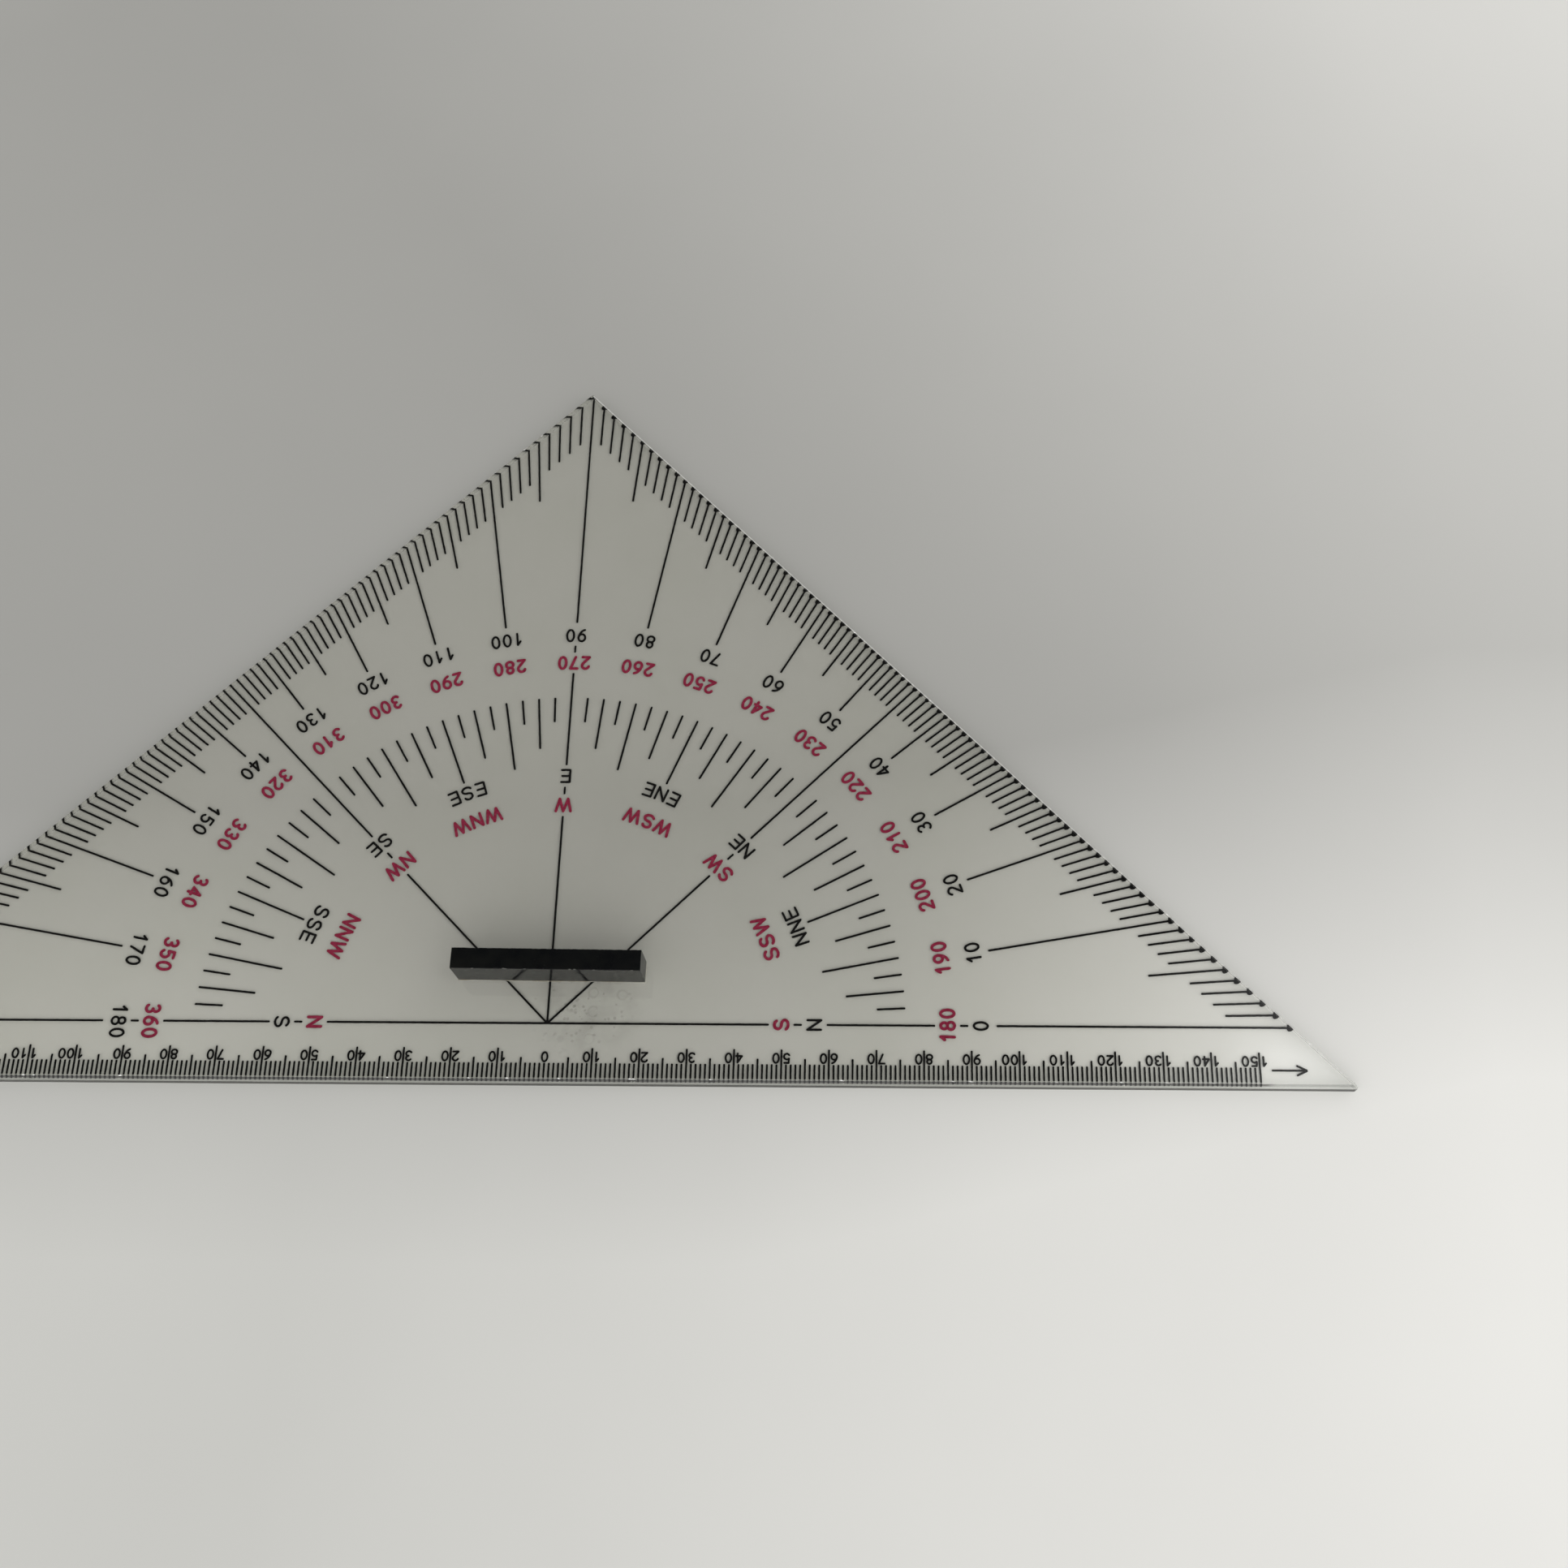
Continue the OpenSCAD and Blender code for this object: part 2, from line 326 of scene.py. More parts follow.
# Centrelines of each character's strokes, in a cell of width 1 and height 1
DIGITS = {
    "0": ring(0.5, 0.5, 0.5, 0.5),
    "1": [[(0.66, 0), (0.66, 1)], [(0.66, 1), (0.24, 0.7)]],
    "2": [arc(0.5, 0.72, 0.49, 0.28, 165, -38) + [(0, 0)], [(0, 0), (1, 0)]],
    "3": [arc(0.46, 0.75, 0.44, 0.25, 150, -85), arc(0.46, 0.26, 0.5, 0.26, 85, -150)],
    "4": [[(0.76, 0), (0.76, 1)], [(0.76, 1), (0, 0.28)], [(0, 0.28), (1.06, 0.28)]],
    "5": [[(0.12, 1), (0.92, 1)], [(0.12, 1), (0.06, 0.53)], arc(0.46, 0.31, 0.5, 0.31, 135, -150)],
    "6": SIX,
    "7": [[(0, 1), (1, 1)], [(1, 1), (0.32, 0)]],
    "8": ring(0.5, 0.75, 0.42, 0.25) + ring(0.5, 0.26, 0.5, 0.26),
    "9": half_turned(SIX),
}
LETTERS = {
    "N": [[(0, 0), (0, 1)], [(0, 1), (1, 0)], [(1, 0), (1, 1)]],
    "E": [[(0, 0), (0, 1)], [(0, 1), (1, 1)], [(0, 0.5), (0.9, 0.5)], [(0, 0), (1, 0)]],
    "S": [arc(0.5, 0.745, 0.44, 0.255, 22, 270) + arc(0.5, 0.245, 0.5, 0.245, 90, -158)[1:]],
    "W": [[(0, 1), (0.22, 0)], [(0.22, 0), (0.5, 1)], [(0.5, 1), (0.78, 0)], [(0.78, 0), (1, 1)]],
}

plate_low, plate_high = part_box("plate")
EDGE_Y = plate_low.y
# The legs are the lines where |x| + y equals this reach
LEG_REACH = plate_high.y
PLATE_TOP = plate_high.z
# The bevel along the ruling edge is as wide as it is high
plate_points = [v.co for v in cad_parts["plate"].data.vertices]
RULING_BEVEL = min(p.y for p in plate_points if p.z > PLATE_TOP - SAME_HEIGHT) - EDGE_Y
# The plate's edges are the ruling edge, the right leg and the left leg, in this order
RULING_EDGE, RIGHT_LEG = 0, 1
# Size of both parts of a leg's outward direction
LEG_SLOPE = 1 / sqrt(2)
# Outward directions of the edges, and their distances from the origin
OUTWARDS = (Vector((0, -1)), Vector((LEG_SLOPE, LEG_SLOPE)), Vector((-LEG_SLOPE, LEG_SLOPE)))
EDGE_REACHES = (-EDGE_Y, LEG_REACH * LEG_SLOPE, LEG_REACH * LEG_SLOPE)


def add_node(tree, kind, inputs=(), **settings):
    """Adds a shader node. inputs are pairs of a socket's name or index and its value or source."""
    made = tree.nodes.new("ShaderNode" + kind)
    for name, value in settings.items():
        setattr(made, name, value)
    for key, value in inputs:
        if isinstance(value, bpy.types.NodeSocket):
            tree.links.new(value, made.inputs[key])
        else:
            made.inputs[key].default_value = value
    return made


def object_place(tree, stretch=(1, 1, 1)):
    place = add_node(tree, "TexCoord").outputs["Object"]
    return add_node(tree, "Mapping", [("Vector", place), ("Scale", stretch)]).outputs["Vector"]


def coordinates(tree, place):
    """The X, Y and Z of a place."""
    return add_node(tree, "SeparateXYZ", [("Vector", place)]).outputs


def grain(tree, place, scale, detail=3):
    """Noise from 0 to 1 with this many features in a metre."""
    inputs = [("Vector", place), ("Scale", scale), ("Detail", detail)]
    return add_node(tree, "TexNoise", inputs).outputs["Fac"]


def spread(tree, value, low, high, to_low=0.0, to_high=1.0):
    """Takes value from one range to another, clamped."""
    inputs = [("Value", value), ("From Min", low), ("From Max", high)]
    inputs += [("To Min", to_low), ("To Max", to_high)]
    return add_node(tree, "MapRange", inputs).outputs["Result"]


def maths(tree, operation, *values):
    return add_node(tree, "Math", list(enumerate(values)), operation=operation).outputs[0]


def product(tree, first, *others):
    for other in others:
        first = maths(tree, "MULTIPLY", first, other)
    return first


def vector_maths(tree, operation, *vectors):
    """The number that comes from vectors, such as their distance."""
    made = add_node(tree, "VectorMath", list(enumerate(vectors)), operation=operation)
    return made.outputs["Value"]


def mixed_colour(tree, factor, first, second):
    made = add_node(tree, "Mix", data_type="RGBA")
    for name, value in (("Factor", factor), ("A", first), ("B", second)):
        socket = next(s for s in made.inputs if s.name == name and s.enabled)
        if isinstance(value, bpy.types.NodeSocket):
            tree.links.new(value, socket)
        else:
            socket.default_value = value
    return next(s for s in made.outputs if s.enabled)


def new_material(name, **values):
    """A material whose Principled shader has these plain values, with underscores for spaces."""
    material = bpy.data.materials.new(name)
    material.use_nodes = True
    shader = material.node_tree.nodes["Principled BSDF"]
    for key, value in values.items():
        shader.inputs[key.replace("_", " ")].default_value = value
    return material, material.node_tree, shader


def coloured(tree, shader, pattern, first, second):
    """Lets a pattern from 0 to 1 mix the colour from two."""
    tree.links.new(mixed_colour(tree, pattern, first, second), shader.inputs["Base Color"])


def roughened(tree, shader, pattern, smoothest, roughest):
    """Lets a grain vary the roughness between two values."""
    rough = spread(tree, pattern, *GRAIN_SPAN, smoothest, roughest)
    tree.links.new(rough, shader.inputs["Roughness"])


def bumped(tree, shader, height, distance):
    bump = add_node(tree, "Bump", [("Height", height), ("Distance", distance), ("Strength", 1.0)])
    tree.links.new(bump.outputs["Normal"], shader.inputs["Normal"])


def see_through(material, share, tint):
    """Mixes this share of a plain tinted view through into a material."""
    tree = material.node_tree
    output = tree.nodes["Material Output"]
    solid = output.inputs["Surface"].links[0].from_socket
    through = add_node(tree, "BsdfTransparent", [("Color", tint)])
    mix = add_node(tree, "MixShader", [(0, share), (1, solid), (2, through.outputs[0])])
    tree.links.new(mix.outputs[0], output.inputs["Surface"])


def let_light_through(material, tint):
    """Lets light that comes to or from a rough surface go straight through a clear material."""
    tree = material.node_tree
    path = add_node(tree, "LightPath").outputs
    see_through(material, maths(tree, "MAXIMUM", path["Is Shadow Ray"], path["Is Diffuse Ray"]), tint)


def drops(tree, place, scale, share, inner, rim):
    """Round drops in this share of the cells of a net: filled, or rings where inner is above 0."""
    cells = add_node(tree, "TexVoronoi", [("Vector", place), ("Scale", scale)]).outputs
    chosen = spread(tree, cells["Color"], 1 - share, 1 - share + DROP_CHOICE_BLUR)
    filled = product(tree, chosen, spread(tree, cells["Distance"], rim, 1.3 * rim, 1, 0))
    if not inner:
        return filled
    return product(tree, filled, spread(tree, cells["Distance"], 0.8 * inner, inner))


def dried_marks(tree, place):
    """Faint spots, rings and smears of dried cement, from 0 to 1, close to the bar's right half."""
    away = vector_maths(tree, "DISTANCE", place, DRIED_MIDDLE)
    near = spread(tree, away, DRIED_FULL_SHARE * DRIED_REACH, DRIED_REACH, 1, 0)
    smears = spread(tree, grain(tree, place, SMEAR_GRAIN, detail=4), 0.5, 0.7, 0, SMEAR_STRENGTH)
    spots = product(tree, drops(tree, place, SPOT_GRAIN, share=0.35, inner=0, rim=0.24), SPOT_STRENGTH)
    rings = product(tree, drops(tree, place, RING_GRAIN, share=0.3, inner=0.3, rim=0.34), RING_STRENGTH)
    marks = maths(tree, "MAXIMUM", maths(tree, "MAXIMUM", spots, rings), smears)
    return product(tree, near, marks)


def acrylic_face():
    """The sheet's polished faces, slightly cloudy and worn, with the dried marks, and painted light
    that makes them clearer towards the right end.
    """
    material, tree, shader = new_material("clear_acrylic", Transmission_Weight=1.0, IOR=ACRYLIC_IOR)
    place = object_place(tree)
    marks = dried_marks(tree, place)
    cloudy = spread(tree, grain(tree, place, SHEET_CLOUD_GRAIN, detail=4), 0.35, 0.65)
    clear = mixed_colour(tree, cloudy, SHEET_CLOUDY, SHEET_CLEAR)
    # Painted light: the sheet is made clearer towards its right end
    right_end = spread(tree, coordinates(tree, place)["X"], *SHEET_PAINTED_LIGHT_X)
    clear = mixed_colour(tree, right_end, clear, SHEET_RIGHT_PAINTED_LIGHT)
    coloured(tree, shader, marks, clear, DRIED_COLOUR)
    wear = spread(tree, grain(tree, place, SHEET_WEAR_GRAIN), 0.5, 0.75, 0, WORN_ROUGHNESS)
    rough = maths(tree, "MULTIPLY_ADD", marks, DRIED_ROUGHNESS, wear)
    tree.links.new(rough, shader.inputs["Roughness"])
    let_light_through(material, SHEET_LIGHT)
    return material


def acrylic_edge():
    """The sheet's cut edges, with fine lines of the cutter."""
    material, tree, shader = new_material(
        "clear_acrylic_cut", Base_Color=CUT_COLOUR, Transmission_Weight=1.0, IOR=ACRYLIC_IOR
    )
    lines = grain(tree, object_place(tree, (1, 1, 0.12)), CUT_GRAIN, detail=2)
    roughened(tree, shader, lines, 0.01, 0.07)
    bumped(tree, shader, lines, 0.005 * MM)
    let_light_through(material, CUT_LIGHT)
    return material


def acrylic_land():
    """The milled face under the ruling edge's bevel, duller than the other cut faces and dark with
    painted shade.
    """
    material, tree, shader = new_material(
        "clear_acrylic_land_painted_shade", Base_Color=LAND_PAINTED_SHADE, Transmission_Weight=0.45, IOR=1.14,
        Specular_IOR_Level=0.1,
    )
    lines = grain(tree, object_place(tree, (0.05, 1, 1)), LAND_GRAIN, detail=2)
    roughened(tree, shader, lines, 0.08, 0.2)
    let_light_through(material, CUT_LIGHT)
    return material


def acrylic_bevel():
    """The milled bevel along the ruling edge, finely streaked, with painted shade on its upper side and
    a painted reflection of the ticks beside them.
    """
    material, tree, shader = new_material(
        "clear_acrylic_milled_painted_shade", Transmission_Weight=1.0, IOR=ACRYLIC_IOR
    )
    streaks = grain(tree, object_place(tree, (0.02, 1, 1)), BEVEL_GRAIN, detail=2)
    clear = mixed_colour(tree, streaks, BEVEL_DULL, BEVEL_CLEAR)
    place = coordinates(tree, object_place(tree))
    # Painted shade on the upper side, darker beside the ticks as their painted reflection
    border = PLATE_TOP - BEVEL_PAINTED_SHADE_SHARE * RULING_BEVEL
    high = spread(tree, place["Z"], border - BEVEL_PAINTED_SHADE_BLUR, border + BEVEL_PAINTED_SHADE_BLUR)
    beside_ticks = spread(tree, place["X"], *BEVEL_TICKS_END, 1, BEVEL_PAST_TICKS)
    coloured(tree, shader, product(tree, high, beside_ticks), clear, BEVEL_PAINTED_SHADE)
    roughened(tree, shader, streaks, 0.06, 0.14)
    let_light_through(material, BEVEL_LIGHT)
    return material


def acrylic_scraped():
    """The right leg's upper corner, scraped broad and dull."""
    material, tree, shader = new_material("clear_acrylic_scraped", Transmission_Weight=0.35, IOR=1.4)
    strokes = grain(tree, object_place(tree), SCRAPED_GRAIN)
    coloured(tree, shader, strokes, SCRAPED_DULL, SCRAPED_CLEAR)
    roughened(tree, shader, strokes, 0.25, 0.5)
    let_light_through(material, SCRAPED_LIGHT)
    return material


def acrylic_chip():
    """The rough faces of the chips along the sheet's upper corners."""
    material, tree, shader = new_material(
        "clear_acrylic_chipped", Base_Color=CHIPPED_COLOUR, Transmission_Weight=0.25, IOR=ACRYLIC_IOR
    )
    crumbs = grain(tree, object_place(tree), CHIPPED_GRAIN)
    roughened(tree, shader, crumbs, 0.3, 0.6)
    bumped(tree, shader, crumbs, 0.02 * MM)
    return material


def printed_ink(name, full, thin):
    """Ink with slightly uneven cover."""
    material, tree, shader = new_material(name, Specular_IOR_Level=0.1)
    place = object_place(tree)
    coloured(tree, shader, spread(tree, grain(tree, place, INK_COVER_GRAIN), 0.4, 0.7), full, thin)
    roughened(tree, shader, grain(tree, place, INK_GLOSS_GRAIN), 0.4, 0.6)
    return material


def bar_face():
    """The bar's polished long faces, faintly rippled, and rubbed along their length."""
    material, tree, shader = new_material("black_acrylic_polished", IOR=1.28, Specular_IOR_Level=0.5)
    place = object_place(tree)
    shade = spread(tree, grain(tree, place, BAR_FACE_GRAIN), *GRAIN_SPAN)
    coloured(tree, shader, shade, *BAR_FACE_COLOURS)
    rubbed = grain(tree, object_place(tree, (0.3, 1, 1)), BAR_RUBBED_GRAIN)
    tree.links.new(spread(tree, rubbed, 0.4, 0.75, 0.04, 0.28), shader.inputs["Roughness"])
    bumped(tree, shader, grain(tree, place, BAR_RIPPLE_GRAIN), 0.002 * MM)
    return material


def bar_cut():
    """The bar's sawn ends."""
    material, tree, shader = new_material("black_acrylic_cut", IOR=ACRYLIC_IOR)
    marks = grain(tree, object_place(tree, (1, 0.15, 1)), BAR_CUT_GRAIN)
    coloured(tree, shader, marks, *BAR_CUT_COLOURS)
    roughened(tree, shader, marks, 0.3, 0.5)
    bumped(tree, shader, marks, 0.03 * MM)
    return material


def bar_chip():
    """The pale breaks along the bar's upper corners."""
    material, tree, shader = new_material("black_acrylic_chipped", IOR=ACRYLIC_IOR, Roughness=0.6)
    coloured(tree, shader, grain(tree, object_place(tree), BAR_CUT_GRAIN), *BAR_CHIP_COLOURS)
    return material


def cement_clear():
    """Dried cement, lumpy and yellowed in places."""
    material, tree, shader = new_material("clear_cement", Transmission_Weight=0.9, IOR=ACRYLIC_IOR)
    place = object_place(tree)
    aged = spread(tree, grain(tree, place, CEMENT_AGE_GRAIN), 0.4, 0.6)
    coloured(tree, shader, aged, CEMENT_CLEAR, CEMENT_AGED)
    lumps = grain(tree, place, CEMENT_LUMP_GRAIN)
    roughened(tree, shader, lumps, 0.03, 0.2)
    bumped(tree, shader, lumps, 0.02 * MM)
    let_light_through(material, CEMENT_LIGHT)
    return material


def under_plate(tree, x, y):
    """Where the paper lies behind the ruling edge and left of the right leg, from 0 to 1."""
    behind_edge = spread(tree, y, EDGE_Y, EDGE_Y + MM)
    inside_leg = spread(tree, maths(tree, "ADD", x, y), LEG_REACH - MM, LEG_REACH, 1, 0)
    return product(tree, behind_edge, inside_leg)


def plate_shade(tree, x, y):
    """Where the plate's front middle shades the paper under it, from 0 to 1."""
    left = spread(tree, x, *PLATE_SHADE_GROWS_X)
    right = spread(tree, x, *PLATE_SHADE_ENDS_X, 1, 0)
    front = spread(tree, y, *PLATE_SHADE_ENDS_Y, 1, 0)
    return product(tree, under_plate(tree, x, y), front, left, right)


def tip_light(tree, x, y):
    """Where painted light lightens the paper under the plate's right tip, from 0 to 1."""
    right = spread(tree, x, *TIP_GROWS_X)
    front = spread(tree, y, *TIP_ENDS_Y, 1, 0)
    return product(tree, under_plate(tree, x, y), right, front)


def floor_shaded(tree, x, y):
    """Where the floor is dark, at the back and more so on the left, from 0 to 1."""
    later = spread(tree, x, *FLOOR_SHADED_LATER_X, 0, FLOOR_SHADED_LATER)
    behind = spread(tree, maths(tree, "SUBTRACT", y, later), *FLOOR_SHADED_Y)
    slanted = maths(tree, "MULTIPLY_ADD", y, FLOOR_SHADED_SLANT, x)
    return product(tree, behind, spread(tree, slanted, *FLOOR_SHADED_X, 1, FLOOR_SHADED_SHARE))


def floor_paper():
    """Pale paper, with painted light and shade that change softly around the triangle. From below it
    can't be seen.
    """
    material, tree, shader = new_material("floor_paper", Specular_IOR_Level=0.1, Roughness=0.9)
    place = object_place(tree)
    axes = coordinates(tree, place)
    x, y = axes["X"], axes["Y"]
    near = spread(tree, vector_maths(tree, "LENGTH", place), *FLOOR_FADE, 1, 0)
    # Painted light brightens the floor towards the right
    bright = product(tree, spread(tree, x, *FLOOR_PAINTED_LIGHT_X), near)
    paper = mixed_colour(tree, bright, FLOOR_PLAIN, FLOOR_PAINTED_LIGHT)
    paper = mixed_colour(tree, product(tree, floor_shaded(tree, x, y), near), paper, FLOOR_SHADED)
    # Painted light under the plate's right tip
    paper = mixed_colour(tree, tip_light(tree, x, y), paper, TIP_PAINTED_LIGHT)
    patches = grain(tree, place, FLOOR_MOTTLE_GRAIN, detail=4)
    mottle = spread(tree, patches, *GRAIN_SPAN, 0, FLOOR_MOTTLE)
    shade = maths(tree, "MULTIPLY_ADD", plate_shade(tree, x, y), PLATE_SHADE, mottle)
    coloured(tree, shader, shade, paper, (0, 0, 0, 1))
    backfacing = add_node(tree, "NewGeometry").outputs["Backfacing"]
    camera_ray = add_node(tree, "LightPath").outputs["Is Camera Ray"]
    see_through(material, product(tree, backfacing, camera_ray), (1, 1, 1, 1))
    return material


def new_piece(name, bm, materials):
    """Turns a bmesh into an object."""
    mesh = bpy.data.meshes.new(name)
    bmesh.ops.recalc_face_normals(bm, faces=bm.faces)
    bm.to_mesh(mesh)
    bm.free()
    for material in materials:
        mesh.materials.append(material)
    made = bpy.data.objects.new(name, mesh)
    bpy.context.scene.collection.objects.link(made)
    return made


def part_of(piece, slot, *nodes):
    """Makes a piece part of the triangle, in the place of these nodes."""
    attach(piece, "root")
    if nodes:
        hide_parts(*nodes)


def skin(bm, rings):
    """Joins closed rings of vertices by bands of faces, and returns the bands."""
    bands = []
    for lower, upper in zip(rings, rings[1:]):
        count = len(lower)
        band = []
        for i in range(count):
            j = (i + 1) % count
            band.append(bm.faces.new((lower[i], lower[j], upper[j], upper[i])))
        bands.append(band)
    return bands


def kept_inside(x, y):
    """Moves a printed point off the plate's cut edges."""
    y = max(y, EDGE_Y + INK_EDGE_MARGIN)
    over = (abs(x) + y - LEG_REACH + INK_EDGE_MARGIN * sqrt(2)) / 2
    if over > 0:
        x -= over if x > 0 else -over
        y -= over
    return x, y


def wavered(x, y):
    """A point of a printed outline, moved a little as ink does."""
    push = noise.noise_vector(Vector((x, y, 0)) * INK_RIM_GRAIN) * INK_RIM_WAVE
    return kept_inside(x + push.x, y + push.y)


def ribbon(path, width):
    """Outline of a printed line along a smooth open path, with round ends."""
    half = width / 2
    points = [Vector(p) for p in path]
    steps = [b - a for a, b in zip(points, points[1:])]
    inner_ways = [a.normalized() + b.normalized() for a, b in zip(steps, steps[1:])]
    ways = [steps[0]] + inner_ways + [steps[-1]]
    sides = [Vector((-way.y, way.x)).normalized() * half for way in ways]
    turns = [pi / 2 - pi * i / CAP_STEPS for i in range(1, CAP_STEPS)]
    caps = []
    for point, way, side in ((points[-1], ways[-1], sides[-1]), (points[0], -ways[0], -sides[0])):
        ahead = way.normalized() * half
        caps.append([point + side * sin(t) + ahead * cos(t) for t in turns])
    left = [p + s for p, s in zip(points, sides)]
    right = [p - s for p, s in zip(points, sides)]
    return (left + caps[0] + right[::-1] + caps[1])[::-1]


def spaced(path, step):
    """A path with its long stretches divided."""
    result = [path[0]]
    for (ax, ay), (bx, by) in zip(path, path[1:]):
        count = max(1, round(hypot(bx - ax, by - ay) / step))
        for i in range(1, count + 1):
            result.append((ax + (bx - ax) * i / count, ay + (by - ay) * i / count))
    return result


def add_ink(bm, outlines, height=INK_TOP):
    """Adds the union of flat outlines as one thin solid."""
    points, polygons = [], []
    for outline in outlines:
        polygons.append(list(range(len(points), len(points) + len(outline))))
        points += [Vector(p) for p in outline]
    inside_only, same_place = 1, 1e-7
    flat, _, triangles, _, _, owners = delaunay_2d_cdt(points, [], polygons, inside_only, same_place)
    triangles = [t for t, owner in zip(triangles, owners) if owner]
    used = sorted({i for t in triangles for i in t})
    top = {i: bm.verts.new((flat[i].x, flat[i].y, height)) for i in used}
    bottom = {i: bm.verts.new((flat[i].x, flat[i].y, INK_BOTTOM)) for i in used}
    sides = {(a, b) for t in triangles for a, b in zip(t, t[1:] + t[:1])}
    for t in triangles:
        bm.faces.new([top[i] for i in t])
        bm.faces.new([bottom[i] for i in reversed(t)])
    for a, b in sides:
        if (b, a) not in sides:
            bm.faces.new((top[b], top[a], bottom[a], bottom[b]))


def node_outlines(name):
    """Outlines of the flat shapes that a printed node is made of."""
    bm = bmesh.new()
    bm.from_mesh(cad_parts[name].data)
    bmesh.ops.remove_doubles(bm, verts=bm.verts, dist=SAME_POINT)
    top = max(v.co.z for v in bm.verts)
    walls = [f for f in bm.faces if min(v.co.z for v in f.verts) < top - SAME_HEIGHT]
    bmesh.ops.delete(bm, geom=walls, context="FACES")
    bmesh.ops.dissolve_limit(bm, angle_limit=radians(1), verts=bm.verts, edges=bm.edges)
    outlines = [[(v.co.x, v.co.y) for v in f.verts] for f in bm.faces]
    bm.free()
    return outlines


def near_cut_edge(x, y):
    return y < EDGE_Y + INK_EDGE_MARGIN or abs(x) + y > LEG_REACH - INK_EDGE_MARGIN


def softened(outline):
    """An outline with its corners rounded, apart from those at a cut edge of the plate."""
    result = []
    for i, (x, y) in enumerate(outline):
        corner = Vector((x, y))
        back, ahead = (Vector(outline[j]) - corner for j in (i - 1, (i + 1) % len(outline)))
        if near_cut_edge(x, y):
            result.append((x, y))
            continue
        size = min(INK_CORNER, INK_CORNER_SHARE * back.length, INK_CORNER_SHARE * ahead.length)
        start, end = corner + back.normalized() * size, corner + ahead.normalized() * size
        result += [tuple(start), tuple((start + end + 2 * corner) / 4), tuple(end)]
    return result


def printed_lines(name, material):
    """Replaces a printed node by the same lines with soft corners and an uneven rim."""
    bm = bmesh.new()
    for outline in node_outlines(name):
        soft = softened(outline)
        rim = spaced(soft + soft[:1], INK_RIM_STEP)[:-1]
        add_ink(bm, [[wavered(x, y) for x, y in rim]])
    piece = new_piece(name + "_ink", bm, [material])
    part_of(piece, "black_print", name)


def add_character(bm, strokes, middle, up, width, height, stroke):
    """Prints one character with its cell's middle at a point and its top in the direction up."""
    right = Vector((up.y, -up.x))
    outlines = []
    for path in strokes:
        laid = [middle + right * ((x - 0.5) * width) + up * ((y - 0.5) * height) for x, y in path]
        laid = spaced([tuple(p) for p in laid], INK_RIM_STEP)
        outlines.append([wavered(p.x, p.y) for p in ribbon(laid, stroke)])
    add_ink(bm, outlines)


def add_ring_label(bm, text, angle, radius, stroke):
    """Prints a label on a ring round the degree centre, with its feet outwards."""
    if text[0] in DIGITS:
        glyphs, height = DIGITS, DIGIT_HEIGHT
        widths = [DIGIT_WIDTH] * len(text)
        gap = DIGIT_PITCH - DIGIT_WIDTH
    else:
        glyphs, height = LETTERS, LETTER_HEIGHT
        widths = [LETTER_WIDTHS[c] for c in text]
        gap = LETTER_GAP
    place = -(sum(widths) + gap * (len(text) - 1)) / 2
    for character, width in zip(text, widths):
        turn = angle + (place + width / 2) / radius
        out = Vector((cos(turn), sin(turn)))
        add_character(bm, glyphs[character], out * radius, -out, width, height, stroke)
        place += width + gap


def ruler_numbers(material):
    """A number at every ten millimetres to both sides of zero, its top towards the ruling edge."""
    bm = bmesh.new()
    up = Vector((0, -1))
    for tens in range(-RULER_TENS, RULER_TENS + 1):
        text = str(abs(tens) * 10)
        middle = RULER_DIGIT_MIDDLE if tens else RULER_ZERO_MIDDLE
        for character, place in zip(text, RULER_DIGIT_PLACES[len(text)]):
            at = Vector((tens * 10 * MM + place, EDGE_Y + middle))
            size = (RULER_DIGIT_WIDTH, RULER_DIGIT_HEIGHT, RULER_DIGIT_STROKE)
            add_character(bm, DIGITS[character], at, up, *size)
    part_of(new_piece("ruler_numbers", bm, [material]), "black_print")


def degree_numbers(name, slot, material, radius, first, stroke):
    """A ring of numbers, every ten degrees from 0 to 180, that starts at first."""
    bm = bmesh.new()
    for angle in range(0, 180 + DEGREE_STEP, DEGREE_STEP):
        add_ring_label(bm, str(first + angle), radians(angle), radius, stroke)
    part_of(new_piece(name, bm, [material]), slot)


def compass_letters(name, slot, material, radius, first, stroke):
    """A ring of compass points from 0 to 180 degrees, that starts at the point of this number."""
    bm = bmesh.new()
    for i in range(len(COMPASS_POINTS) // 2 + 1):
        text = COMPASS_POINTS[(first + i) % len(COMPASS_POINTS)]
        add_ring_label(bm, text, radians(i * COMPASS_POINT_ANGLE), radius, stroke)
    part_of(new_piece(name, bm, [material]), slot)


def add_pool(bm, middle, along, inwards, tail):
    """Adds a small pool of ink on an edge.

    Its end along the edge is drawn out by the share tail, or its other end where tail is negative.
    """
    growth = max(1, 1 - POOL_GROWTH * tail / POOL_TAIL)
    half = chance.uniform(*POOL_HALF_WIDTH) * growth
    depth = chance.uniform(*POOL_DEPTH) * growth
    lean = chance.uniform(-POOL_LEAN, POOL_LEAN) * half
    rim = []
    for share, up in POOL_RIM:
        stretch = 1 + max(0, share * tail) if abs(share) == 1 else 1
        place = half * share * stretch + lean * up
        rim.append(middle + along * place + inwards * (up * depth))
    add_ink(bm, [[wavered(p.x, p.y) for p in rim]], POOL_TOP)


def edge_ink(material):
    """Ink that ran along the right leg's lower edge, at the ends of its ticks."""
    bm = bmesh.new()
    inwards = -OUTWARDS[RIGHT_LEG]
    down = Vector((-inwards.y, inwards.x))
    for degree in range(POOLS):
        out = Vector((cos(radians(degree)), sin(radians(degree))))
        on_edge = out * LEG_REACH / (out.x + out.y)
        add_pool(bm, on_edge, down, inwards, POOL_TAIL * (out.y - out.x))
    part_of(new_piece("edge_ink", bm, [material]), "black_print")


